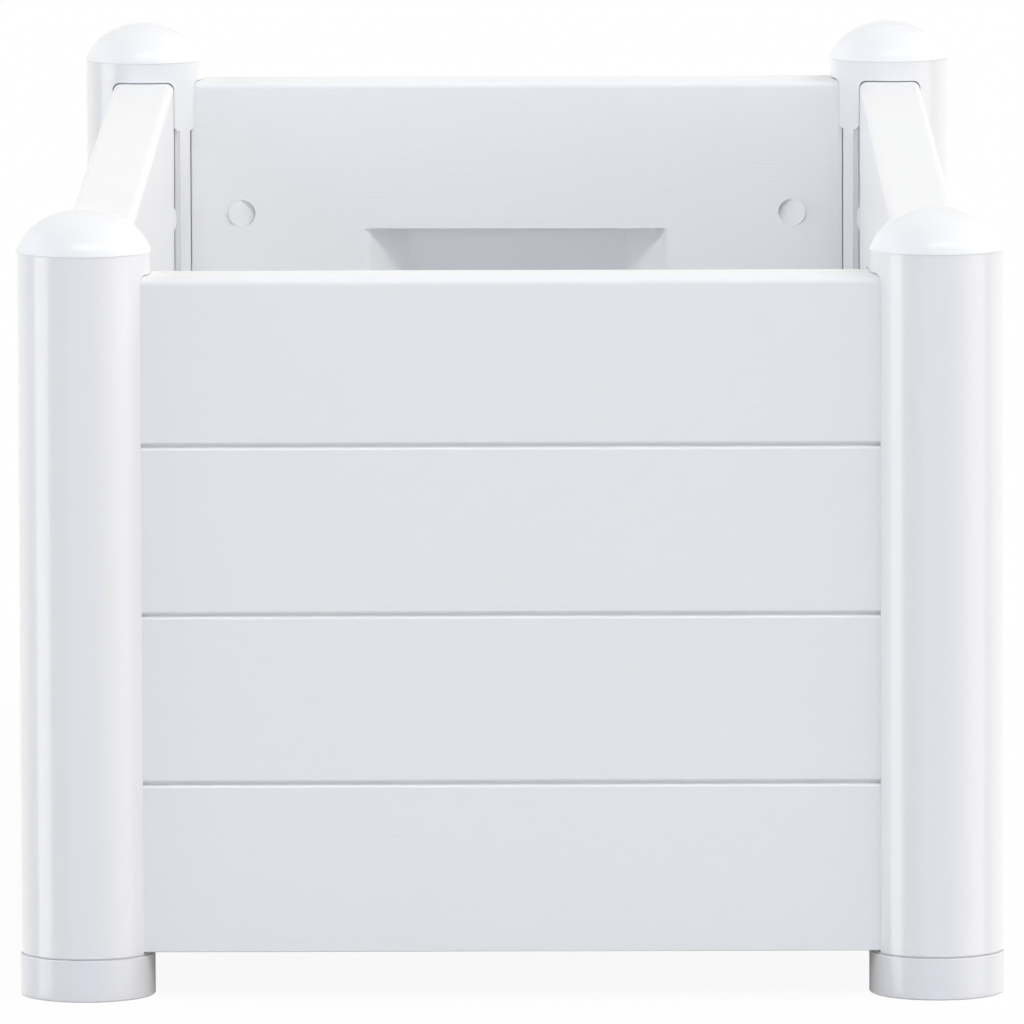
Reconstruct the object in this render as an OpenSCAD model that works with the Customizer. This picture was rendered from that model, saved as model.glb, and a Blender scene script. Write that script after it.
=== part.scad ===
// Raised garden bed in white plastic: round corner posts, plank-look panels, domed caps, round feet
// Z is up, Y runs along the long side, and the origin lies on the ground under the middle of the bed

/* [Bed] */
// Width over the feet, across the short side
bed_w = 430; // [340:1:600]
// Length over the feet, along the long side
bed_l = 1000; // [960:1:1400]

/* [Panels] */
// Thickness of a panel
panel_t = 30; // [26:0.5:34]
// Height of one moulded plank
plank_h = 74; // [60:1:90]
// Planks that one panel shows
plank_n = 4; // [4:1:5]
// Rounding of a panel's top edges
edge_r = 4; // [2:0.5:7]
// Rounding of a panel's bottom edges
foot_edge_r = 0.5; // [0.5:0.1:2]
// Depth of the groove between two planks
groove_d = 2.4; // [2.2:0.1:3.2]
// Width of the groove's core
groove_w = 1.2; // [0.8:0.1:1.6]
// Rounding of the groove's two lips
lip_r = 1.5; // [0.6:0.1:1.6]
// Wall of the hollow panel
skin = 2.5; // [2:0.1:3.5]
// Thickness of the ribs inside a panel
rib_t = 2.5; // [2:0.1:4]
// Largest distance between two ribs
rib_pitch = 78; // [60:1:90]
// Solid end of a panel, behind its tongue
end_wall = 12; // [10:0.5:16]
// Width of the seam between a panel's inner face and the post's nose
seam_w = 0.8; // [0.6:0.1:1.2]
// Depth of the notch behind that seam
notch_d = 3; // [2:0.1:4]

/* [Pockets] */
// Width of a pocket's mouth on the inner face
pocket_w = 149; // [120:1:160]
// Width of a pocket's floor
pocket_floor_w = 108; // [80:1:116]
// Depth of a pocket
pocket_d = 20; // [14:0.5:20]
// Distance of the long panel's two pockets from its middle
pocket_off = 190; // [120:1:200]
// Diameter of a slanted catch on the inner face
catch_d = 13; // [9:0.5:15]
// Depth of a catch on its sunk side
catch_sink = 3; // [0.8:0.1:3.2]
// Height of a catch on its proud side
catch_proud = 1.6; // [0.4:0.1:2]
// Slant of a catch's rim from upright
catch_slant = 45; // [30:1:50]
// Distance of a catch from the post's axis
catch_in = 48.5; // [44:0.5:52]
// Distance of a catch from the panel's top or bottom edge
catch_edge = 66; // [40:0.5:66]

/* [Posts] */
// Diameter of a post
post_d = 58.5; // [56:0.5:64]
// Wall of a post
post_wall = 2.5; // [2:0.1:3]
// Height of the closed head above the panels
head_h = 9.6; // [6:0.1:16]
// Wall between the two channels at the inner corner
neck_t = 3; // [2.5:0.1:3.5]
// Distance of the two rebates beside the inner corner from the middle of its round, below the tab
nose_w = 2.2; // [1.6:0.1:2.6]
// Root of the nose that stands between the rebates
nose_root = 2.7; // [2:0.1:3]
// Height of the tab below the post's top
tab_h = 34; // [20:1:50]
// Cut across the tab's lower corners
tab_cut = 1.6; // [1:0.1:2.2]
// Rounding of the channel's upper corners
arch_r = 3.6; // [1:0.1:4]

/* [Tongues] */
// Width of the tongue's neck
neck_w = 7.6; // [5:0.1:8.4]
// Width of the tongue's head
head_w = 13.6; // [11:0.1:14]
// Depth of the tongue's head
head_t = 3.2; // [2.6:0.1:3.4]

/* [Caps] */
// Diameter of a cap and of a foot
cap_d = 59; // [59:0.5:66]
// Height of the dome
dome_h = 18.5; // [16:0.5:22]
// Radius of the dome's crown
crown_r = 37.5; // [35:0.5:40]
// Angle at which the crown turns into the dome's shoulder
crown_turn = 27; // [22:1:32]
// Wall of the cap
cap_wall = 2.5; // [2:0.1:3.5]
// Diameter of the pegs that hold the caps and the feet
peg_d = 12.4; // [10:0.1:12.4]
// Length of those pegs
peg_l = 20; // [12:1:30]

/* [Feet] */
// Height of a foot
foot_h = 19; // [14:0.5:26]
// Wall of a foot
foot_wall = 3; // [2.5:0.1:4]
// Height of the pads that carry the panels
pad_h = 1; // [1:0.1:4]
// Bevel of a foot's edges
foot_bevel = 0.8; // [0.4:0.1:1.5]
// Height of the open seam between a foot's rim and its post
seam_h = 0.7; // [0.4:0.1:1.2]
// Depth of that seam
seam_d = 1.2; // [0.6:0.1:1.8]
// Ribs under a foot
foot_ribs = 6; // [4:1:8]

/* [Floor] */
// Reach of the ledge that carries the floor
ledge_w = 12; // [10:0.5:16]
// Height of the ledge's top above the panel's bottom edge
ledge_h = 20; // [18:0.5:26]
// Thickness of the ledge's shelf
shelf_t = 4; // [3:0.1:5]
// Thickness of a floor plate
floor_t = 4; // [3:0.1:6]
// Depth of the ribs under a floor plate
floor_rib_h = 10; // [6:0.5:12]
// Largest distance between two floor ribs
floor_rib_pitch = 52; // [40:1:70]
// Diameter of a drain hole
drain_d = 8; // [6:0.5:12]
// Width of the joist under the middle of the floor
joist_w = 40; // [30:1:50]
// Wall of the joist
joist_wall = 3; // [2.5:0.1:4]
// Thickness of the stirrup that the joist rests in
stirrup_t = 3; // [2:0.1:4]
// Thickness of the gussets under the ledge
gusset_t = 3; // [2:0.1:4]

/* [Fits] */
// Gap between a panel and the sides of its channel
channel_gap = 0.3; // [0.2:0.05:0.8]
// Gap round a tongue in its slot
tongue_gap = 0.2; // [0.15:0.05:0.4]
// Gap between a panel's end and the channel's floor
end_gap = 0.5; // [0.4:0.05:1]
// Gap between a panel's top edge and the channel's arch
top_gap = 0.4; // [0.3:0.1:2]
// Gap round a peg
peg_gap = 0.3; // [0.2:0.05:0.5]
// Gap round the floor plates
floor_gap = 1; // [0.5:0.1:2]
// Gap beside the joist in its stirrup
joist_gap = 0.4; // [0.3:0.05:1]

/* [Hidden] */
$fn = 96;

// Colours: bright outer parts, a slightly greyer floor
WHITE = [0.95, 0.955, 0.965];
FLOOR_WHITE = [0.86, 0.87, 0.88];

// Overshoot of every cut, so that no cut ends on a face
over = 1;

// Steps of a small rounding and of a large one
small_steps = 4;
large_steps = 8;

// Plan of the bed
cap_r = cap_d / 2;
post_r = post_d / 2;
post_x = bed_w / 2 - cap_r;
post_y = bed_l / 2 - cap_r;

// Heights above the ground
panel_h = plank_h * plank_n;
panel_z = foot_h + pad_h;
channel_z = panel_z + panel_h + top_gap;
rim_z = channel_z + head_h;
tab_z = rim_z - tab_h;

// Channel and slot in the post, measured from its axis
channel_half = panel_t / 2 + channel_gap;
channel_x = channel_half + neck_t;
rebate_half = post_r / sqrt(2) - nose_w;
rebate_x = rebate_half + nose_root;
nose_x = sqrt(post_r * post_r - rebate_half * rebate_half);
bore_r = peg_d / 2 + peg_gap;
slot_neck_half = neck_w / 2 + tongue_gap;
slot_head_half = head_w / 2 + tongue_gap;
panel_end = channel_x + end_gap;
tongue_neck_x = channel_half - tongue_gap;
tongue_x = tongue_neck_x - head_t;
slot_x = tongue_x - end_gap;

// Lengths of the panels between their tongues
end_len = 2 * (post_x - panel_end);
side_len = 2 * (post_y - panel_end);

// Pocket: one plank down from the top edge, as tall as the planks between
pocket_z0 = plank_h;
pocket_z1 = panel_h - plank_h;

// Ledge and floor
ledge_end = post_r + floor_gap;
floor_z = panel_z + ledge_h;
floor_x = post_x - panel_t / 2 - floor_gap;
floor_y = post_y - panel_t / 2 - floor_gap;
joist_z = panel_z + stirrup_t;
joist_slot_half = joist_w / 2 + joist_gap;

// Points along an arc from one angle to another
function arc(x, y, r, from, to, steps) =
    [for (i = [0 : steps]) let (a = from + (to - from) * i / steps) [x + r * cos(a), y + r * sin(a)]];

// Positions that split a span into equal parts no longer than the pitch
function even(from, to, pitch) =
    let (n = max(1, ceil((to - from) / pitch))) [for (i = [0 : n]) from + (to - from) * i / n];

// Positions halfway between neighbours
function middles(stops) = [for (i = [0 : len(stops) - 2]) (stops[i] + stops[i + 1]) / 2];

// Places children at one corner of the bed, with the channels turned to its middle
module at_corner(sx, sy) {
    mirror([sx > 0 ? 1 : 0, 0, 0])
        mirror([0, sy > 0 ? 1 : 0, 0])
            translate([-post_x, -post_y, 0])
                children();
}

// Extrudes a thickness-by-height section along X, centred
module along_x(len) {
    translate([-len / 2, 0, 0])
        rotate([90, 0, 90])
            linear_extrude(len)
                children();
}

// Repeats children for the channel on +X and the channel on +Y
module both_channels() {
    children();
    mirror([1, -1, 0])
        children();
}

// Section of the channel: straight sides under two rounded corners
module arch_section(half, top) {
    translate([-half, foot_h - over])
        square([2 * half, top - arch_r - foot_h + over]);
    translate([-half + arch_r, foot_h - over])
        square([2 * (half - arch_r), top - foot_h + over]);
    for (side = [-1, 1])
        translate([side * (half - arch_r), top - arch_r])
            circle(arch_r);
}

// Plan of the post before its channels are cut
module post_plan() {
    difference() {
        union() {
            difference() {
                circle(post_r);
                circle(post_r - post_wall);
            }
            intersection() {
                circle(post_r);
                union() {
                    both_channels()
                        translate([slot_x - post_wall, -channel_half - post_wall])
                            square([post_r, 2 * (channel_half + post_wall)]);
                    translate([channel_half, channel_half])
                        square(post_r);
                }
            }
            circle(bore_r + post_wall);
            for (turn = [180, 270])
                rotate(turn)
                    translate([bore_r + post_wall / 2, -post_wall / 2])
                        square([post_r - bore_r - post_wall, post_wall]);
        }
        circle(bore_r);
    }
}

// Rebate beside the +X channel, open at the foot and cut slantwise into the tab at its top
module rebate() {
    translate([rebate_x, 0, 0])
        rotate([90, 0, 90])
            linear_extrude(post_r)
                polygon([[channel_half - over, foot_h - over], [rebate_half, foot_h - over],
                         [rebate_half, tab_z], [channel_half + tab_cut, tab_z],
                         [channel_half - over, tab_z + tab_cut + over]]);
}

module post() {
    color(WHITE)
    difference() {
        translate([0, 0, foot_h])
            linear_extrude(rim_z - foot_h)
                post_plan();
        both_channels() {
            translate([channel_x, 0, 0])
                rotate([90, 0, 90])
                    linear_extrude(post_r)
                        arch_section(channel_half, channel_z);
            translate([channel_half, -slot_neck_half, foot_h - over])
                cube([channel_x - channel_half + over, 2 * slot_neck_half, channel_z - foot_h + over]);
            translate([slot_x, -slot_head_half, foot_h - over])
                cube([channel_half - slot_x, 2 * slot_head_half, channel_z - foot_h + over]);
            rebate();
        }
    }
}

// Outline of the dome: a wide crown that turns into a tighter shoulder, tangent to it
module dome_outline(inset) {
    c0 = dome_h - crown_r;
    k = (cap_r * cap_r + c0 * c0 - crown_r * crown_r)
        / (2 * (cap_r * sin(crown_turn) - c0 * cos(crown_turn) - crown_r));
    shoulder_x = k * sin(crown_turn);
    shoulder_y = c0 + k * cos(crown_turn);
    shoulder_r = crown_r - k;
    last = asin(-shoulder_y / (shoulder_r - inset));
    polygon(concat(
        [[0, 0]],
        arc(shoulder_x, shoulder_y, shoulder_r - inset, last, 90 - crown_turn, 2 * large_steps),
        arc(0, c0, crown_r - inset, 90 - crown_turn, 90, large_steps)));
}

module cap() {
    color(WHITE)
    translate([0, 0, rim_z])
        rotate_extrude() {
            difference() {
                dome_outline(0);
                dome_outline(cap_wall);
            }
            translate([0, -peg_l])
                square([peg_d / 2, peg_l + dome_h - cap_wall / 2]);
        }
}

// Profile of a foot: bevelled disc with a raised seat for the post and a ring-shaped hollow underneath
module foot_profile() {
    rim_top = foot_h - seam_h;
    seat_r = post_r - seam_d;
    difference() {
        polygon([[0, 0], [cap_r - foot_bevel, 0], [cap_r, foot_bevel],
                 [cap_r, rim_top - foot_bevel / 2], [cap_r - foot_bevel / 2, rim_top],
                 [seat_r, rim_top], [seat_r, foot_h], [0, foot_h]]);
        translate([bore_r + foot_wall, -over])
            square([cap_r - 2 * foot_wall - bore_r, foot_h - foot_wall + over]);
    }
}

module foot() {
    color(WHITE)
    union() {
        rotate_extrude()
            foot_profile();
        for (i = [0 : foot_ribs - 1])
            rotate([0, 0, i * 360 / foot_ribs])
                translate([bore_r + foot_wall - over, -foot_wall / 2, 0])
                    cube([cap_r - foot_wall - bore_r - foot_wall + 2 * over, foot_wall, foot_h - foot_wall]);
        translate([0, 0, foot_h - over])
            cylinder(d = peg_d, h = peg_l + over);
        both_channels()
            intersection() {
                translate([panel_end, -panel_t / 2, foot_h - over])
                    cube([post_r - panel_end, panel_t, pad_h + over]);
                cylinder(r = post_r - channel_gap, h = foot_h + pad_h);
            }
    }
}

// Points of one groove, from its lower lip to its upper lip
function groove(z) = concat(
    arc(-panel_t / 2 + lip_r, z - groove_w / 2 - lip_r, lip_r, 180, 90, small_steps),
    arc(-panel_t / 2 + groove_d - groove_w / 2, z, groove_w / 2, -90, 90, large_steps),
    arc(-panel_t / 2 + lip_r, z + groove_w / 2 + lip_r, lip_r, 270, 180, small_steps));

// Section of a panel: grooved outer face at -Y, plain inner face at +Y
module panel_section() {
    polygon(concat(
        arc(-panel_t / 2 + foot_edge_r, foot_edge_r, foot_edge_r, 270, 180, small_steps),
        [for (i = [1 : plank_n - 1]) each groove(i * plank_h)],
        arc(-panel_t / 2 + edge_r, panel_h - edge_r, edge_r, 180, 90, large_steps),
        arc(panel_t / 2 - edge_r, panel_h - edge_r, edge_r, 90, 0, large_steps),
        arc(panel_t / 2 - foot_edge_r, foot_edge_r, foot_edge_r, 0, -90, small_steps)));
}

// Section of the hollow inside a panel, open at the bottom edge
module hollow_section() {
    difference() {
        translate([-panel_t / 2 + skin, -over])
            square([panel_t - 2 * skin, panel_h - edge_r + over]);
        for (i = [1 : plank_n - 1])
            translate([-panel_t / 2, i * plank_h - groove_w / 2 - lip_r - skin / 2])
                square([groove_d + skin, groove_w + 2 * lip_r + skin]);
    }
}

// Pocket with slanted sides, grown on every side by a wall
module pocket(grow) {
    mouth_half = pocket_w / 2 + grow + over;
    mouth_y = panel_t / 2 + over;
    floor_half = pocket_floor_w / 2 + grow;
    floor_y0 = panel_t / 2 - pocket_d - grow;
    translate([0, 0, pocket_z0 - grow])
        linear_extrude(pocket_z1 - pocket_z0 + 2 * grow)
            polygon([[-mouth_half, mouth_y], [-floor_half, floor_y0],
                     [floor_half, floor_y0], [mouth_half, mouth_y]]);
}

// Side of the slanted plane that a catch is cut to: above it the recess, below it the button
module catch_slab(above) {
    reach = catch_d;
    tilt = atan((catch_sink + catch_proud) / catch_d);
    translate([0, (catch_proud - catch_sink) / 2, 0])
        rotate([0, 0, tilt])
            translate([-reach, above ? 0 : -reach, -reach])
                cube([2 * reach, reach, 2 * reach]);
}

// Repeats children at a panel's four catches; +X of each points away from the panel's middle
module at_catches(len) {
    for (side = [-1, 1], z = [catch_edge, panel_h - catch_edge])
        translate([side * (len / 2 + panel_end - catch_in), panel_t / 2, z])
            mirror([side < 0 ? 1 : 0, 0, 0])
                children();
}

// Cone through the round of a catch on the inner face, widening outwards with growth 1, inwards with -1
module catch_cone(growth, from, to) {
    spread = growth * tan(catch_slant);
    translate([0, from, 0])
        rotate([-90, 0, 0])
            cylinder(r1 = catch_d / 2 + spread * from, r2 = catch_d / 2 + spread * to, h = to - from);
}

// Solid round a catch's recess
module catch_wall() {
    depth = catch_sink + 2 * skin;
    translate([0, -depth, 0])
        rotate([-90, 0, 0])
            cylinder(r = catch_d / 2 + skin, h = depth);
}

// Ledge along the foot of a panel's inner face, on gussets
module ledge(len) {
    reach = len / 2 + panel_end - ledge_end;
    inner = panel_t / 2;
    translate([-reach, inner - skin / 2, ledge_h - shelf_t])
        cube([2 * reach, ledge_w + skin / 2, shelf_t]);
    for (x = even(-reach + gusset_t / 2, reach - gusset_t / 2, rib_pitch))
        translate([x - gusset_t / 2, inner - skin / 2, foot_edge_r])
            cube([gusset_t, ledge_w + skin / 2, ledge_h - foot_edge_r]);
}

// Notch at one end of a panel's inner face, which leaves a seam beside the post's nose, up to behind the tab
module notch(len) {
    notch_x = len / 2 + panel_end - nose_x - seam_w;
    translate([notch_x, panel_t / 2 - notch_d, -over])
        cube([nose_x, notch_d + over, tab_z - panel_z + 2 * over]);
}

// Hollow panel of a given length, with its pockets centred at the given places
module panel(len, pockets) {
    tongue_h = panel_h - edge_r;
    difference() {
        union() {
            along_x(len)
                panel_section();
            for (side = [0, 1])
                mirror([side, 0, 0]) {
                    translate([len / 2 - over, -neck_w / 2, 0])
                        cube([panel_end - tongue_neck_x + 2 * over, neck_w, tongue_h]);
                    translate([len / 2 + panel_end - tongue_neck_x, -head_w / 2, 0])
                        cube([head_t, head_w, tongue_h]);
                }
            at_catches(len)
                intersection() {
                    catch_cone(-1, -skin / 2, catch_proud);
                    catch_slab(false);
                }
            ledge(len);
        }
        difference() {
            union() {
                stops = even(-len / 2 + end_wall - rib_t / 2, len / 2 - end_wall + rib_t / 2, rib_pitch);
                for (i = [0 : len(stops) - 2])
                    translate([(stops[i] + stops[i + 1]) / 2, 0, 0])
                        along_x(stops[i + 1] - stops[i] - rib_t)
                            hollow_section();
            }
            for (x = pockets)
                translate([x, 0, 0])
                    pocket(skin);
            at_catches(len)
                catch_wall();
        }
        for (side = [0, 1])
            mirror([side, 0, 0])
                notch(len);
        for (x = pockets)
            translate([x, 0, 0])
                pocket(0);
        at_catches(len)
            intersection() {
                catch_cone(1, -catch_sink, over);
                catch_slab(true);
            }
    }
}

module end_panel() {
    color(WHITE)
        panel(end_len, [0]);
}

// Stirrup that closes the gap in the ledge under the joist's end
module stirrup() {
    inner = panel_t / 2;
    translate([-joist_slot_half - gusset_t, inner - skin / 2, foot_edge_r])
        cube([2 * (joist_slot_half + gusset_t), ledge_w + skin / 2, stirrup_t - foot_edge_r]);
    for (side = [-1, 1])
        translate([side * (joist_slot_half + gusset_t / 2) - gusset_t / 2, inner - skin / 2, foot_edge_r])
            cube([gusset_t, ledge_w + skin / 2, ledge_h - foot_edge_r]);
}

module side_panel() {
    color(WHITE)
    union() {
        difference() {
            panel(side_len, [-pocket_off, pocket_off]);
            translate([-joist_slot_half, panel_t / 2, foot_edge_r])
                cube([2 * joist_slot_half, ledge_w + over, ledge_h]);
        }
        stirrup();
    }
}

// One of two plates that make up the floor, lying on the ledges and on the joist
module floor_plate() {
    rib_reach_x = post_x - panel_t / 2 - ledge_w - floor_gap;
    rib_y0 = joist_w / 2 + floor_gap;
    rib_y1 = post_y - panel_t / 2 - ledge_w - floor_gap;
    rib_xs = even(-rib_reach_x + rib_t, rib_reach_x - rib_t, floor_rib_pitch);
    rib_ys = even(rib_y0 + rib_t / 2, rib_y1 - rib_t / 2, 2 * floor_rib_pitch);
    middle_gap = floor_gap / 2;
    color(FLOOR_WHITE)
    difference() {
        union() {
            translate([-floor_x, middle_gap, floor_z])
                cube([2 * floor_x, floor_y - middle_gap, floor_t]);
            for (x = rib_xs)
                translate([x - rib_t / 2, rib_y0, floor_z - floor_rib_h])
                    cube([rib_t, rib_y1 - rib_y0, floor_rib_h + floor_t / 2]);
            for (y = rib_ys)
                translate([-rib_reach_x, y - rib_t / 2, floor_z - floor_rib_h])
                    cube([2 * rib_reach_x, rib_t, floor_rib_h + floor_t / 2]);
        }
        for (side = [-1, 1])
            translate([side * post_x, post_y, floor_z - over])
                cylinder(r = post_r + floor_gap, h = floor_t + 2 * over);
        for (x = middles(rib_xs), y = middles(rib_ys))
            translate([x, y, floor_z - over])
                cylinder(d = drain_d, h = floor_t + 2 * over);
    }
}

// Upside-down channel across the middle of the bed, under the joint of the floor plates
module floor_joist() {
    height = floor_z - joist_z;
    color(FLOOR_WHITE)
    difference() {
        translate([-floor_x, -joist_w / 2, joist_z])
            cube([2 * floor_x, joist_w, height]);
        translate([-floor_x + ledge_w, -joist_w / 2 + joist_wall, joist_z - over])
            cube([2 * (floor_x - ledge_w), joist_w - 2 * joist_wall, height - joist_wall + over]);
    }
}

module post_front_left() { at_corner(-1, -1) post(); }
module post_front_right() { at_corner(1, -1) post(); }
module post_rear_left() { at_corner(-1, 1) post(); }
module post_rear_right() { at_corner(1, 1) post(); }
module cap_front_left() { at_corner(-1, -1) cap(); }
module cap_front_right() { at_corner(1, -1) cap(); }
module cap_rear_left() { at_corner(-1, 1) cap(); }
module cap_rear_right() { at_corner(1, 1) cap(); }
module foot_front_left() { at_corner(-1, -1) foot(); }
module foot_front_right() { at_corner(1, -1) foot(); }
module foot_rear_left() { at_corner(-1, 1) foot(); }
module foot_rear_right() { at_corner(1, 1) foot(); }
module end_panel_front() { translate([0, -post_y, panel_z]) end_panel(); }
module end_panel_rear() { mirror([0, 1, 0]) end_panel_front(); }
module side_panel_left() { translate([-post_x, 0, panel_z]) rotate([0, 0, -90]) side_panel(); }
module side_panel_right() { mirror([1, 0, 0]) side_panel_left(); }
module floor_plate_rear() { floor_plate(); }
module floor_plate_front() { mirror([0, 1, 0]) floor_plate(); }

post_front_left();
post_front_right();
post_rear_left();
post_rear_right();
cap_front_left();
cap_front_right();
cap_rear_left();
cap_rear_right();
foot_front_left();
foot_front_right();
foot_rear_left();
foot_rear_right();
end_panel_front();
end_panel_rear();
side_panel_left();
side_panel_right();
floor_plate_front();
floor_plate_rear();
floor_joist();
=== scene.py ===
import math

import bmesh
import bpy
from mathutils import Matrix, Vector


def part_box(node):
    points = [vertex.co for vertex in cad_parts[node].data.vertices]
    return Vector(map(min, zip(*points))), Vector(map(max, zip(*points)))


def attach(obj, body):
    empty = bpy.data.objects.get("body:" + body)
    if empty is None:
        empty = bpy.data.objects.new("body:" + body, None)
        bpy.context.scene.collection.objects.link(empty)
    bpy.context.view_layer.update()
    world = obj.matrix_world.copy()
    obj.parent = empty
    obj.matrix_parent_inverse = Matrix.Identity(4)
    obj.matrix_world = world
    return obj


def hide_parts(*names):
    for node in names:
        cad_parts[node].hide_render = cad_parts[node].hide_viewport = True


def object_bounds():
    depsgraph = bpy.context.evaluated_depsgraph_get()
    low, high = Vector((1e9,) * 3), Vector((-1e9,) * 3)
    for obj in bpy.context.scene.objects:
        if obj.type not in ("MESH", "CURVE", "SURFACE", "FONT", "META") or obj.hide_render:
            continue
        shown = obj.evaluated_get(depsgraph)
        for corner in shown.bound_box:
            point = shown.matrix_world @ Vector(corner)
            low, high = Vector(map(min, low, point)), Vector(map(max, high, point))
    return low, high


# Raised garden bed in white plastic. The posts, caps and feet are modelled here round the packed
# frame, and the panels, floor plates and joist are eased copies of their solids. All sizes are in
# metres, with +Z up

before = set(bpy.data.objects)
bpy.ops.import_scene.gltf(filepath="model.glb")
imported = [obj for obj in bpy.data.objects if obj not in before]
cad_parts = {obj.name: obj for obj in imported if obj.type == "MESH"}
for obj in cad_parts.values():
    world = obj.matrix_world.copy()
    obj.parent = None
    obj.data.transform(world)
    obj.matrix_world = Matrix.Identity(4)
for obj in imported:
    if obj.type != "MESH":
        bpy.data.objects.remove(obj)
cad_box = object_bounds()

# Post: half the width of its two panel channels, their floor's distance from the post's axis, the
# radius of their upper corners, and the height of the closed head above them
CHANNEL_HALF = 0.01515
CHANNEL_FLOOR = 0.0183
ARCH_RADIUS = 0.0036
HEAD_HEIGHT = 0.0096

# Inner corner of the post: a tab at the top, and below it a nose between two rebates. Along each
# axis, the nose's side is NOSE_WIDTH short of the post's 45 degree point, and the rebate's floor is
# NOSE_ROOT beyond that side
NOSE_WIDTH = 0.0028
NOSE_ROOT = 0.0047
TAB_HEIGHT = 0.034
TAB_CUT = 0.0016

# Slot in a channel's floor for the panel's tongue: a neck and a wider head, measured from the
# post's axis
SLOT_NECK_HALF = 0.004
SLOT_HEAD_HALF = 0.007
SLOT_MOUTH = 0.0151
SLOT_FLOOR = 0.0114

# Pegs and the bore that they sit in
PEG_RADIUS = 0.0062
BORE_RADIUS = 0.0065
PEG_LENGTH = 0.020

# Cap: a wide crown that turns into a tighter shoulder, and the root of its peg
CROWN_RADIUS = 0.0375
CROWN_TURN = math.radians(27)
CAP_WALL = 0.0025
PEG_ROOT = 0.0005

# Foot: a disc, hollow below, with ribs, a raised seat for the post and pads under the panel ends
FOOT_WALL = 0.003
FOOT_RIBS = 6
FOOT_ROUNDING = 0.0008
SEAM_HEIGHT = 0.0007
SEAM_DEPTH = 0.0012
PAD_HEIGHT = 0.001
PAD_MARGIN = 0.0003

# Panel: half its thickness, the depth that its grooves stay within, and how far its tongue's end,
# its own end and its ledge's end are from the post's axis
PANEL_HALF = 0.015
GROOVE_DEPTH = 0.009
TONGUE_END = 0.0119
PANEL_END = 0.0188
LEDGE_END = 0.0304

# Catches, round and slanted: their distance from the post's axis and from the panel's top and
# bottom, their radius, the depth of the sunk side and the height of the proud side, and the space
# round a catch that holds all its edges
CATCH_IN = 0.0485
CATCH_INSET = 0.066
CATCH_RADIUS = 0.0066
CATCH_SINK = 0.003
CATCH_PROUD = 0.0016
CATCH_REACH = 0.010
CATCH_DEPTH = 0.0035

# Roundings of moulded edges, and the length that sets a pocket's upright mouth edges apart
EDGE = 0.0004
FINE_EDGE = 0.0003
RIM_EDGE = 0.00012
POCKET_EDGE = 0.0007
MOUTH_EDGE = 0.0025
MOUTH_LENGTH = 0.05

# How far a cutter reaches past the piece, and how deep parts that are fused run into each other
REACH = 0.04
OVERLAP = 0.001

# Steps of a full turn: of a post or foot, of a cap, of a bore, and of a catch
TURN_STEPS = 120
CAP_STEPS = 144
BORE_STEPS = 48
CATCH_STEPS = 64

# Steps of an arc: of a dome outside and inside, of a channel's corner, of a foot's edge, of a cap's
# rim, of a pocket's mouth, and of the edges of the floor plates and joist
DOME_STEPS = 14
HOLLOW_STEPS = 8
CORNER_STEPS = 6
FOOT_STEPS = 5
RIM_STEPS = 3
MOUTH_STEPS = 8
PLATE_STEPS = 2

# Points closer than these are one point: on an axis, in a mesh before and after its edges are
# rounded, and in a mesh that is cut
ON_AXIS = 1e-7
SAME_BEFORE = 2e-6
SAME_AFTER = 1e-6
SAME_IN_CUT = 5e-6

# Angles in degrees. Faces within the first two lie in one plane, in a cut mesh and in a rounded
# one. Edges above the third are rounded, and those above the fourth are shaded sharp
FLAT_IN_CUT = 0.3
FLAT = 0.6
ROUNDED_FROM = 32
SHARP_FROM = 38

# How much large faces outweigh small ones in the smooth shading, where 50 is neutral
FACE_WEIGHT = 90

CORNERS = {
    "front_left": (-1, -1),
    "front_right": (1, -1),
    "rear_left": (-1, 1),
    "rear_right": (1, 1),
}


def link(name, bm):
    """Turns a bmesh into an object with outward faces."""
    bmesh.ops.recalc_face_normals(bm, faces=bm.faces)
    mesh = bpy.data.meshes.new(name)
    bm.to_mesh(mesh)
    bm.free()
    piece = bpy.data.objects.new(name, mesh)
    bpy.context.scene.collection.objects.link(piece)
    return piece


def prism(outline, low, high):
    """Upright prism on an outline."""
    bm = bmesh.new()
    below = [bm.verts.new((x, y, low)) for x, y in outline]
    above = [bm.verts.new((x, y, high)) for x, y in outline]
    bm.faces.new(below)
    bm.faces.new(above)
    for i in range(len(outline)):
        j = (i + 1) % len(outline)
        bm.faces.new((below[i], below[j], above[j], above[i]))
    return link("tool", bm)


def lathe(profile, steps=TURN_STEPS):
    """Body of revolution from (radius, height) points that start and end on the axis."""
    bm = bmesh.new()
    rings = []
    for radius, height in profile:
        if radius < ON_AXIS:
            rings.append([bm.verts.new((0, 0, height))])
            continue
        angles = [math.tau * i / steps for i in range(steps)]
        circle = [(radius * math.cos(a), radius * math.sin(a), height) for a in angles]
        rings.append([bm.verts.new(point) for point in circle])
    for one, two in zip(rings, rings[1:]):
        for i in range(steps):
            j = (i + 1) % steps
            corners = [one[i % len(one)], one[j % len(one)], two[j % len(two)], two[i % len(two)]]
            bm.faces.new(list(dict.fromkeys(corners)))
    return link("tool", bm)


def block(low, high):
    """Box between two corners."""
    outline = [(low[0], low[1]), (high[0], low[1]), (high[0], high[1]), (low[0], high[1])]
    return prism(outline, low[2], high[2])


def arc(x, y, radius, start, stop, steps):
    """Points along an arc, angles in degrees."""
    angles = [math.radians(start + (stop - start) * i / steps) for i in range(steps + 1)]
    return [(x + radius * math.cos(a), y + radius * math.sin(a)) for a in angles]


def moved(piece, matrix):
    """Moves, turns or mirrors the mesh of a piece."""
    piece.data.transform(matrix)
    if matrix.determinant() < 0:
        piece.data.flip_normals()
    return piece


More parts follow.
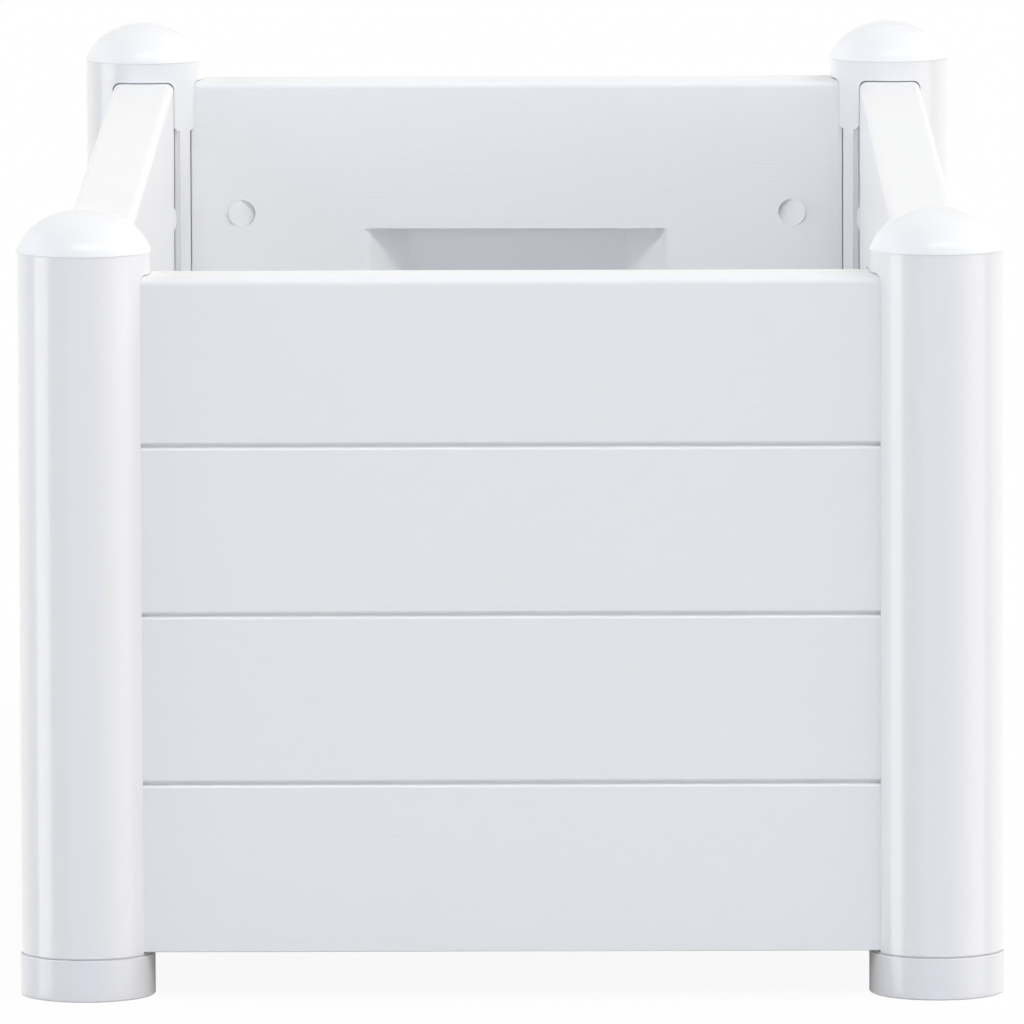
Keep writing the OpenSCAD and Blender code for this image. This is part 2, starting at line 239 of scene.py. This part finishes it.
def joined(piece, tools, operation):
    """Cuts the tools from a piece or fuses them with it."""
    for tool in tools:
        step = piece.modifiers.new("step", "BOOLEAN")
        step.operation = operation
        step.solver = "EXACT"
        step.object = tool
    graph = bpy.context.evaluated_depsgraph_get()
    mesh = bpy.data.meshes.new_from_object(piece.evaluated_get(graph))
    piece.modifiers.clear()
    piece.data = mesh
    for tool in tools:
        bpy.data.objects.remove(tool)
    return piece


def ease(piece, width, wanted=lambda edge: True, segments=3):
    """Rounds the sharp edges that are wanted."""
    bm = bmesh.new()
    bm.from_mesh(piece.data)
    bmesh.ops.remove_doubles(bm, verts=bm.verts, dist=SAME_BEFORE)
    bmesh.ops.dissolve_limit(bm, angle_limit=math.radians(FLAT), verts=bm.verts, edges=bm.edges)
    limit = math.radians(ROUNDED_FROM)
    sharp = [e for e in bm.edges if e.is_manifold and e.calc_face_angle() > limit and wanted(e)]
    bmesh.ops.bevel(bm, geom=sharp, offset=width, offset_type="OFFSET", segments=segments,
                    profile=0.5, affect="EDGES", clamp_overlap=False)
    bmesh.ops.remove_doubles(bm, verts=bm.verts, dist=SAME_AFTER)
    bm.to_mesh(piece.data)
    bm.free()
    return piece


def merged(piece):
    """Joins points that lie on each other and faces that lie in one plane, for a clean cut."""
    bm = bmesh.new()
    bm.from_mesh(piece.data)
    bmesh.ops.remove_doubles(bm, verts=bm.verts, dist=SAME_IN_CUT)
    bmesh.ops.dissolve_limit(bm, angle_limit=math.radians(FLAT_IN_CUT), verts=bm.verts,
                             edges=bm.edges)
    bm.to_mesh(piece.data)
    bm.free()
    return piece


def smooth(piece):
    """Shades a piece smooth, with its flat faces kept flat."""
    piece.data.shade_smooth()
    piece.data.set_sharp_from_angle(angle=math.radians(SHARP_FROM))
    normals = piece.modifiers.new("normals", "WEIGHTED_NORMAL")
    normals.keep_sharp = True
    normals.weight = FACE_WEIGHT
    return piece


def place(piece, name, material):
    """Stands a finished piece in for the CAD node of the same name."""
    piece.name = name + "_moulded"
    piece.data.name = piece.name
    piece.data.materials.clear()
    piece.data.materials.append(material)
    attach(piece, "root")
    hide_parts(name)


def at_corner(piece, corner):
    """Moves a piece from its own axis to a corner, with its channels turned to the bed's middle."""
    low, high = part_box("cap_" + corner)
    sx, sy = CORNERS[corner]
    to_corner = Matrix.Translation(((low.x + high.x) / 2, (low.y + high.y) / 2, 0))
    return moved(piece, to_corner @ Matrix.Diagonal((-sx, -sy, 1, 1)))


# Materials. Textures are scaled per metre: slow changes of tone, fine pits, and wood grain made of
# long fibres and short cuts, scaled along X, Y and Z
CLOUD_SCALE = 7.0
PIT_SCALE = 900.0
PIT_DEPTH = 0.0002
PIT_STRENGTH = 0.06
FIBRE_SCALE = {"X": (14, 420, 420), "Y": (420, 14, 420)}
CUT_SCALE = {"X": (70, 620, 620), "Y": (620, 70, 620)}
CUT_FROM, CUT_TO = 0.70, 0.80
GRAIN_DEPTH = 0.0004
FIBRE_STRENGTH = 0.05
CUT_STRENGTH = 0.14
GLOSS_SPREAD = 0.04
PLASTIC_IOR = 1.49
COAT_ROUGHNESS = 0.08


def nodes_of(name):
    """New material with its node tree and its shader."""
    material = bpy.data.materials.new(name)
    material.use_nodes = True
    tree = material.node_tree
    return material, tree, tree.nodes["Principled BSDF"]


def add(tree, kind, inputs=None, **settings):
    """New node with its settings and its constant or linked inputs."""
    node = tree.nodes.new(kind)
    for key, value in settings.items():
        setattr(node, key, value)
    for key, value in (inputs or {}).items():
        if isinstance(value, bpy.types.NodeSocket):
            tree.links.new(value, node.inputs[key])
        else:
            node.inputs[key].default_value = value
    return node


def plastic(name, colour, roughness, grain=None, stain=0.012, coat=0.0):
    """Moulded plastic with faint changes of tone, fine pits, and wood grain along a given axis."""
    material, tree, shader = nodes_of(name)
    place_of = add(tree, "ShaderNodeTexCoord").outputs["Object"]

    def noise(vector, scale, detail, **inputs):
        inputs = {"Vector": vector, "Scale": scale, "Detail": detail, **inputs}
        return add(tree, "ShaderNodeTexNoise", inputs).outputs["Fac"]

    def spread(value, low, high, start=0.0, end=1.0):
        inputs = {"Value": value, "From Min": start, "From Max": end, "To Min": low, "To Max": high}
        return add(tree, "ShaderNodeMapRange", inputs).outputs["Result"]

    def bump(height, strength, depth, **inputs):
        inputs = {"Strength": strength, "Distance": depth, "Height": height, **inputs}
        return add(tree, "ShaderNodeBump", inputs).outputs["Normal"]

    def stretched(scales):
        scaled = add(tree, "ShaderNodeVectorMath", {0: place_of, 1: scales}, operation="MULTIPLY")
        return scaled.outputs["Vector"]

    cloud = noise(place_of, CLOUD_SCALE, 2.0)
    tint = add(tree, "ShaderNodeMix", {"Factor": 1.0, "A": (*colour, 1)}, data_type="RGBA",
               blend_type="MULTIPLY")
    tree.links.new(spread(cloud, 1 - stain, 1.0), tint.inputs["B"])
    gloss = spread(cloud, roughness - GLOSS_SPREAD, roughness + GLOSS_SPREAD)
    normal = bump(noise(place_of, PIT_SCALE, 2.0), PIT_STRENGTH, PIT_DEPTH)
    if grain:
        fibres = noise(stretched(FIBRE_SCALE[grain]), 1.0, 3.0, Roughness=0.6, Distortion=0.4)
        cuts = spread(noise(stretched(CUT_SCALE[grain]), 1.0, 0.0), 1.0, 0.0, CUT_FROM, CUT_TO)
        normal = bump(fibres, FIBRE_STRENGTH, GRAIN_DEPTH, Normal=normal)
        normal = bump(cuts, CUT_STRENGTH, GRAIN_DEPTH, Normal=normal)
    tree.links.new(tint.outputs["Result"], shader.inputs["Base Color"])
    tree.links.new(gloss, shader.inputs["Roughness"])
    tree.links.new(normal, shader.inputs["Normal"])
    shader.inputs["IOR"].default_value = PLASTIC_IOR
    shader.inputs["Coat Weight"].default_value = coat
    shader.inputs["Coat Roughness"].default_value = COAT_ROUGHNESS
    return material


WHITE = (0.893, 0.887, 0.896)
POST_WHITE = (0.86, 0.856, 0.872)
# Feet: a darker, bluer white than the panels', which is painted shade for the dimmer, cooler light
# near the floor
FOOT_WHITE_PAINTED_SHADE = (0.82, 0.82, 0.845)
FLOOR_WHITE = (0.86, 0.865, 0.875)
satin_cap = plastic("satin_white_cap", WHITE, 0.48, coat=0.25)
satin_post = plastic("satin_white_post", POST_WHITE, 0.4, coat=0.7)
satin_foot_painted_shade = plastic("satin_white_foot_painted_shade", FOOT_WHITE_PAINTED_SHADE, 0.42, coat=0.5)
grain_across = plastic("grained_white_across", WHITE, 0.42, grain="X")
grain_along = plastic("grained_white_along", WHITE, 0.42, grain="Y")
floor_plastic = plastic("floor_white", FLOOR_WHITE, 0.5, stain=0.03)


# Posts

post_low, post_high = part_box("post_front_left")
cap_low, cap_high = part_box("cap_front_left")
post_radius = (post_high.x - post_low.x) / 2
cap_radius = (cap_high.x - cap_low.x) / 2
rim_z = post_high.z
foot_top = post_low.z
channel_top = rim_z - HEAD_HEIGHT
tab_low = rim_z - TAB_HEIGHT
dome_height = cap_high.z - rim_z

# Turns a prism's outline into the plane across +X, with its height along +X
UPRIGHT = Matrix(((0, 0, 1, 0), (1, 0, 0, 0), (0, 1, 0, 0), (0, 0, 0, 1)))


def swapped(piece):
    """The same piece for the other channel, with X and Y swapped."""
    return moved(piece, Matrix(((0, 1, 0, 0), (1, 0, 0, 0), (0, 0, 1, 0), (0, 0, 0, 1))))


def channel_cutter():
    """Panel channel along +X with rounded upper corners."""
    low = foot_top - REACH
    half = CHANNEL_HALF
    outline = [(-half, low), (half, low)]
    spring = channel_top - ARCH_RADIUS
    outline += arc(half - ARCH_RADIUS, spring, ARCH_RADIUS, 0, 90, CORNER_STEPS)
    outline += arc(-half + ARCH_RADIUS, spring, ARCH_RADIUS, 90, 180, CORNER_STEPS)
    return moved(prism(outline, CHANNEL_FLOOR, REACH), UPRIGHT)


def rebate_cutter():
    """Rebate beside the +X channel, cut slantwise into the tab at its top."""
    low = foot_top - REACH
    side = post_radius / math.sqrt(2) - NOSE_WIDTH
    inside = CHANNEL_HALF - OVERLAP
    outline = [(inside, low), (side, low), (side, tab_low), (CHANNEL_HALF + TAB_CUT, tab_low),
               (inside, tab_low + TAB_CUT + CHANNEL_HALF - inside)]
    return moved(prism(outline, side + NOSE_ROOT, REACH), UPRIGHT)


def slot_cutters():
    """Neck and head of the slot in the +X channel's floor."""
    low = foot_top - REACH
    neck_end = CHANNEL_FLOOR + OVERLAP
    neck = block((SLOT_MOUTH, -SLOT_NECK_HALF, low), (neck_end, SLOT_NECK_HALF, channel_top))
    head = block((SLOT_FLOOR, -SLOT_HEAD_HALF, low), (CHANNEL_HALF, SLOT_HEAD_HALF, channel_top))
    return [neck, head]


def rod(radius, bottom, top, steps):
    """Upright round rod on the axis."""
    return lathe([(0, bottom), (radius, bottom), (radius, top), (0, top)], steps)


def post():
    """Post on its own axis, with its channels towards +X and +Y."""
    tools = [channel_cutter(), rebate_cutter()] + slot_cutters()
    tools += [swapped(tool) for tool in [channel_cutter(), rebate_cutter()] + slot_cutters()]
    tools.append(rod(BORE_RADIUS, foot_top - REACH, rim_z + REACH, BORE_STEPS))
    piece = joined(rod(post_radius, foot_top, rim_z, TURN_STEPS), tools, "DIFFERENCE")

    def at_rim(edge):
        return min(v.co.z for v in edge.verts) > rim_z - FINE_EDGE

    def outer(edge):
        middle = (edge.verts[0].co + edge.verts[1].co) / 2
        return math.hypot(middle.x, middle.y) > CHANNEL_FLOOR + 2 * EDGE and not at_rim(edge)

    return smooth(ease(ease(piece, RIM_EDGE, at_rim), FINE_EDGE, outer))


for corner in CORNERS:
    place(at_corner(post(), corner), "post_" + corner, satin_post)


# Caps


def dome(inset, steps):
    """Outline of the dome from its rim to its top: shoulder arc, then crown arc, tangent to it."""
    centre = dome_height - CROWN_RADIUS
    gap = (cap_radius ** 2 + centre ** 2 - CROWN_RADIUS ** 2) / (
        2 * (cap_radius * math.sin(CROWN_TURN) - centre * math.cos(CROWN_TURN) - CROWN_RADIUS))
    x = gap * math.sin(CROWN_TURN)
    y = centre + gap * math.cos(CROWN_TURN)
    shoulder = CROWN_RADIUS - gap - inset
    first = math.degrees(math.asin(-y / shoulder))
    turn = 90 - math.degrees(CROWN_TURN)
    crown = arc(0, centre, CROWN_RADIUS - inset, turn, 90, steps)
    return arc(x, y, shoulder, first, turn, steps) + crown[1:]


def cap():
    """Domed shell with a crisp rim and a peg."""
    outside = dome(0, DOME_STEPS)
    inside = dome(CAP_WALL, HOLLOW_STEPS)
    inside = [p for p in inside if p[0] > PEG_RADIUS + PEG_ROOT]
    rim = outside[0]
    lip = arc(rim[0] - RIM_EDGE, RIM_EDGE, RIM_EDGE, -90, 0, RIM_STEPS)
    profile = [(0, -PEG_LENGTH), (PEG_RADIUS - EDGE, -PEG_LENGTH), (PEG_RADIUS, -PEG_LENGTH + EDGE)]
    profile.append((PEG_RADIUS, inside[-1][1]))
    profile += inside[::-1]
    profile += lip
    profile += [p for p in outside[1:] if p[1] > 2 * RIM_EDGE]
    profile = [(r, z + rim_z) for r, z in profile]
    return smooth(lathe(profile, CAP_STEPS))


for corner in CORNERS:
    place(at_corner(cap(), corner), "cap_" + corner, satin_cap)


# Feet


def foot():
    """Ribbed disc with a peg, a seat for the post and two pads."""
    inner = BORE_RADIUS + FOOT_WALL
    outer = cap_radius - FOOT_WALL
    rim_top = foot_top - SEAM_HEIGHT
    seat = post_radius - SEAM_DEPTH
    r = FOOT_ROUNDING
    roof = foot_top - FOOT_WALL
    profile = [(0, 0), (inner, 0), (inner, roof), (outer, roof), (outer, 0)]
    profile += arc(cap_radius - r, r, r, -90, 0, FOOT_STEPS)
    profile += arc(cap_radius - r / 2, rim_top - r / 2, r / 2, 0, 90, FOOT_STEPS)
    profile += [(seat, rim_top), (seat, foot_top), (PEG_RADIUS, foot_top)]
    profile += [(PEG_RADIUS, foot_top + PEG_LENGTH - EDGE)]
    profile += [(PEG_RADIUS - EDGE, foot_top + PEG_LENGTH), (0, foot_top + PEG_LENGTH)]
    piece = lathe(profile)
    ribs = []
    for i in range(FOOT_RIBS):
        rib = block((inner - OVERLAP, -FOOT_WALL / 2, 0),
                    (outer + OVERLAP, FOOT_WALL / 2, roof + OVERLAP))
        ribs.append(moved(rib, Matrix.Rotation(math.tau * i / FOOT_RIBS, 4, "Z")))
    reach = math.sqrt((post_radius - PAD_MARGIN) ** 2 - PANEL_HALF ** 2)
    for turn in (False, True):
        pad = block((PANEL_END, -PANEL_HALF, foot_top - OVERLAP),
                    (reach, PANEL_HALF, foot_top + PAD_HEIGHT))
        ribs.append(swapped(pad) if turn else pad)
    return smooth(joined(piece, ribs, "UNION"))


# The feet's material carries painted shade: its white is darker and bluer than the panels'
for corner in CORNERS:
    place(at_corner(foot(), corner), "foot_" + corner, satin_foot_painted_shade)


# Panels and floor: eased copies of the solids


def copy_of(node):
    """Free copy of a CAD node."""
    piece = bpy.data.objects.new(node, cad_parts[node].data.copy())
    bpy.context.scene.collection.objects.link(piece)
    return piece


def eased_panel(node, axis):
    """Copy of a panel with steep catches and rounded pockets and ledges. Its tongues stay crisp."""
    low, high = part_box(node)
    across = 1 - axis
    outer_face = low[across] if low[across] + high[across] < 0 else high[across]
    inward = -1 if outer_face > 0 else 1
    middle = (low[axis] + high[axis]) / 2
    tongue_end = (high[axis] - low[axis]) / 2

    def place_of(edge):
        """Distance of an edge from the post's axis, and its depth behind the panel's outer face."""
        centre = (edge.verts[0].co + edge.verts[1].co) / 2
        along = abs(centre[axis] - middle)
        return TONGUE_END + tongue_end - along, abs(centre[across] - outer_face)

    def at_catch(edge):
        from_post, depth = place_of(edge)
        return abs(from_post - CATCH_IN) < CATCH_REACH and abs(depth - 2 * PANEL_HALF) < CATCH_DEPTH

    def at_mouth(edge):
        """Upright edge between the inner face and a pocket's slanted side."""
        one, two = (v.co for v in edge.verts)
        from_post, depth = place_of(edge)
        upright = abs(one.z - two.z) > MOUTH_LENGTH and (one - two).xy.length < FINE_EDGE
        return upright and abs(depth - 2 * PANEL_HALF) < FINE_EDGE and from_post > CATCH_IN

    def moulded(edge):
        from_post, depth = place_of(edge)
        inside = depth > GROOVE_DEPTH and from_post > LEDGE_END
        return inside and not at_catch(edge) and not at_mouth(edge)

    def drum(side, height, radius, bottom, top):
        """Round prism at a catch. Its ends' heights over the inner face depend on u, which grows
        towards the post.
        """
        catch_at = TONGUE_END + tongue_end - CATCH_IN
        bm = bmesh.new()
        rings = []
        for level in (bottom, top):
            ring = []
            for u, w in arc(0, 0, radius, 0, 360, CATCH_STEPS)[:-1]:
                point = Vector((0, 0, height + w))
                point[axis] = middle + side * (catch_at + u)
                point[across] = outer_face + inward * (2 * PANEL_HALF + level(u))
                ring.append(bm.verts.new(point))
            rings.append(ring)
            bm.faces.new(ring)
        for i in range(CATCH_STEPS):
            j = (i + 1) % CATCH_STEPS
            bm.faces.new((rings[0][i], rings[0][j], rings[1][j], rings[1][i]))
        return link("tool", bm)

    def drums(radius, bottom, top):
        """A prism at each of the four catches."""
        heights = (low.z + CATCH_INSET, high.z - CATCH_INSET)
        return [drum(side, height, radius, bottom, top) for side in (-1, 1) for height in heights]

    def below(u):
        return -CATCH_SINK - EDGE

    def slant(u):
        return (CATCH_PROUD - CATCH_SINK + u * (CATCH_PROUD + CATCH_SINK) / CATCH_RADIUS) / 2

    def above_slant(u):
        return slant(u) + EDGE

    def above(u):
        return CATCH_PROUD + 2 * EDGE

    piece = merged(copy_of(node))
    piece = merged(joined(piece, drums(CATCH_RADIUS, below, above_slant), "UNION"))
    piece = merged(joined(piece, drums(CATCH_RADIUS + RIM_EDGE, slant, above), "DIFFERENCE"))
    piece = ease(piece, MOUTH_EDGE, at_mouth, segments=MOUTH_STEPS)
    return smooth(ease(piece, POCKET_EDGE, moulded))


PANELS = (
    ("end_panel_front", 0, grain_across),
    ("end_panel_rear", 0, grain_across),
    ("side_panel_left", 1, grain_along),
    ("side_panel_right", 1, grain_along),
)
for node, axis, material in PANELS:
    place(eased_panel(node, axis), node, material)

for node in ("floor_plate_front", "floor_plate_rear", "floor_joist"):
    piece = smooth(ease(copy_of(node), EDGE, segments=PLATE_STEPS))
    place(piece, node, floor_plastic)


# Floor, light and camera

# Floor: its size and colour, the glow that it gives to the bed, and how much of it is glow rather
# than lit surface, to the bed and to the camera
GROUND = 9.0
GROUND_STEPS = 96
FLOOR_GREY = 0.9
FLOOR_GLOW = (0.16, 0.13, 0.10)
GLOW_TO_BED, GLOW_TO_CAMERA = 0.5, 0.93


def studio_floor():
    """Round pale floor, white to the camera, with the bed's shadow.

    It is open from below, and to reflections all round the bed.
    """
    bm = bmesh.new()
    bmesh.ops.create_circle(bm, cap_ends=True, radius=GROUND, segments=GROUND_STEPS)
    floor = link("studio_floor", bm)
    material, tree, shader = nodes_of("studio_floor")
    path = add(tree, "ShaderNodeLightPath")
    shader.inputs["Base Color"].default_value = (FLOOR_GREY, FLOOR_GREY, FLOOR_GREY, 1)
    shader.inputs["Roughness"].default_value = 0.9
    shader.inputs["Specular IOR Level"].default_value = 0.0

    def calc(operation, one, two):
        return add(tree, "ShaderNodeMath", {0: one, 1: two}, operation=operation).outputs[0]

    def mixed(share, one, two):
        return add(tree, "ShaderNodeMixShader", {0: share, 1: one.outputs[0], 2: two.outputs[0]})

    to_camera = path.outputs["Is Camera Ray"]
    colours = {"Factor": to_camera, "A": (*FLOOR_GLOW, 1), "B": (1, 1, 1, 1)}
    tint = add(tree, "ShaderNodeMix", colours, data_type="RGBA")
    glow = add(tree, "ShaderNodeEmission", {"Color": tint.outputs["Result"], "Strength": 1.0})
    glow_share = add(tree, "ShaderNodeMapRange", {"Value": to_camera, "To Min": GLOW_TO_BED,
                                                  "To Max": GLOW_TO_CAMERA})
    lit = mixed(glow_share.outputs[0], shader, glow)

    # Position as a share of the bed's half size, which is above 1 beside the bed
    surface = add(tree, "ShaderNodeNewGeometry")
    where = surface.outputs["Position"]
    aside = add(tree, "ShaderNodeVectorMath", {0: where}, operation="ABSOLUTE")
    share_of_bed = add(tree, "ShaderNodeVectorMath", {0: aside.outputs[0], 1: cad_box[1]},
                       operation="DIVIDE")
    axes = add(tree, "ShaderNodeSeparateXYZ", {0: share_of_bed.outputs[0]}).outputs
    around = calc("GREATER_THAN", calc("MAXIMUM", axes["X"], axes["Y"]), 1.0)
    reflected = calc("MULTIPLY", path.outputs["Is Glossy Ray"], around)
    through = calc("MAXIMUM", surface.outputs["Backfacing"], reflected)
    sides = mixed(through, lit, add(tree, "ShaderNodeBsdfTransparent"))
    tree.links.new(sides.outputs[0], tree.nodes["Material Output"].inputs["Surface"])
    floor.data.materials.append(material)


studio_floor()

# Studio light: soft fields all round, tall ones that reach below the floor, where only reflections
# see them, and two keys. Each has a colour with its strength, the azimuth of its middle from the
# front towards +X, half its width, and its lowest and highest elevation, in degrees
HIGH_LIGHTS = (
    ((0.10, 0.14, 0.20), 0, 45, 20, 38),
    ((0.79, 0.85, 0.82), 90, 45, 20, 38),
    ((3.08, 3.11, 3.06), 90, 45, 38, 56),
    ((0.57, 0.53, 0.48), 180, 45, 20, 74),
    ((2.36, 2.49, 2.75), -90, 45, 20, 38),
    ((0.23, 0.23, 0.23), -90, 45, 38, 56),
)
LOW_LIGHTS = (
    ((0.85, 0.99, 1.26), 0, 30, -91, 20),
    ((1.55, 1.41, 1.19), 41, 11, -91, 20),
    ((2.08, 2.00, 1.98), 70, 18, -91, 20),
    ((0.45, 0.45, 0.45), 98, 10, -91, 20),
    ((1.12, 1.15, 1.12), 144, 36, -91, 20),
    ((0.34, 0.34, 0.31), -46.5, 16.5, -91, 20),
    ((3.25, 3.15, 2.94), -77, 14, -91, 20),
    ((0.60, 0.60, 0.58), -102, 11, -91, 20),
    ((1.20, 1.21, 1.14), -146.5, 33.5, -91, 20),
)
KEY_LIGHTS = (
    ((9.75, 9.90, 9.94), 10, 30, 48, 58),
    ((14.9, 14.9, 14.9), 100, 5, 35, 45),
)

# Groups of lights with their softness along azimuth and along elevation, in degrees
LIGHTS = ((HIGH_LIGHTS, 9, 9), (LOW_LIGHTS, 1.2, 9), (KEY_LIGHTS, 3, 3))


def studio_light():
    """World with the studio's lights, plain white to the camera."""
    world = bpy.data.worlds.new("studio")
    bpy.context.scene.world = world
    world.use_nodes = True
    tree = world.node_tree
    lit = tree.nodes["Background"]

    def calc(operation, *values):
        return add(tree, "ShaderNodeMath", dict(enumerate(values)), operation=operation).outputs[0]

    def within(distance, half, blur):
        inputs = {"Value": distance, "From Min": half - blur, "From Max": half + blur,
                  "To Min": 1.0, "To Max": 0.0}
        fade = add(tree, "ShaderNodeMapRange", inputs, interpolation_type="SMOOTHSTEP")
        return fade.outputs["Result"]

    direction = add(tree, "ShaderNodeTexCoord").outputs["Generated"]
    axes = add(tree, "ShaderNodeSeparateXYZ", {0: direction}).outputs
    azimuth = calc("DEGREES", calc("ARCTAN2", axes["X"], calc("MULTIPLY", axes["Y"], -1.0)))
    elevation = calc("DEGREES", calc("ARCSINE", axes["Z"]))
    total = None
    for lights, side_blur, height_blur in LIGHTS:
        for colour, middle, half, lowest, highest in lights:
            turned = calc("FLOORED_MODULO", calc("ADD", azimuth, 540.0 - middle), 360.0)
            aside = calc("ABSOLUTE", calc("SUBTRACT", turned, 180.0))
            above = calc("ABSOLUTE", calc("SUBTRACT", elevation, (lowest + highest) / 2))
            share = calc("MULTIPLY", within(aside, half, side_blur),
                         within(above, (highest - lowest) / 2, height_blur))
            part = add(tree, "ShaderNodeVectorMath", {0: colour, "Scale": share}, operation="SCALE")
            if total:
                part = add(tree, "ShaderNodeVectorMath", {0: total, 1: part.outputs[0]})
            total = part.outputs[0]
    tree.links.new(total, lit.inputs["Color"])
    white = add(tree, "ShaderNodeBackground", {"Color": (1, 1, 1, 1), "Strength": 1.0})
    path = add(tree, "ShaderNodeLightPath")
    shown = calc("MAXIMUM", path.outputs["Is Camera Ray"], path.outputs["Is Transmission Ray"])
    seen = add(tree, "ShaderNodeMixShader", {0: shown, 1: lit.outputs[0], 2: white.outputs[0]})
    tree.links.new(seen.outputs[0], tree.nodes["World Output"].inputs["Surface"])


studio_light()

# Camera fitted to the photograph's edges and seams, with its tilt down, turn and roll in degrees
CAMERA_AT = (0.0234, -6.7717, 0.9694)
PITCH, YAW, ROLL = 6.8611, 0.2088, -0.1830
LENS_MM = 512.3
SENSOR_MM = 36
FAR = 100

lens = bpy.data.cameras.new("camera")
lens.sensor_width = SENSOR_MM
lens.lens = LENS_MM
lens.clip_end = FAR
camera = bpy.data.objects.new("camera", lens)
turn = Matrix.Identity(4)
for angle, axis in ((YAW, "Z"), (90 - PITCH, "X"), (ROLL, "Z")):
    turn = turn @ Matrix.Rotation(math.radians(angle), 4, axis)
camera.matrix_world = Matrix.Translation(CAMERA_AT) @ turn
bpy.context.scene.collection.objects.link(camera)
bpy.context.scene.camera = camera

bpy.context.scene.view_settings.view_transform = "Standard"
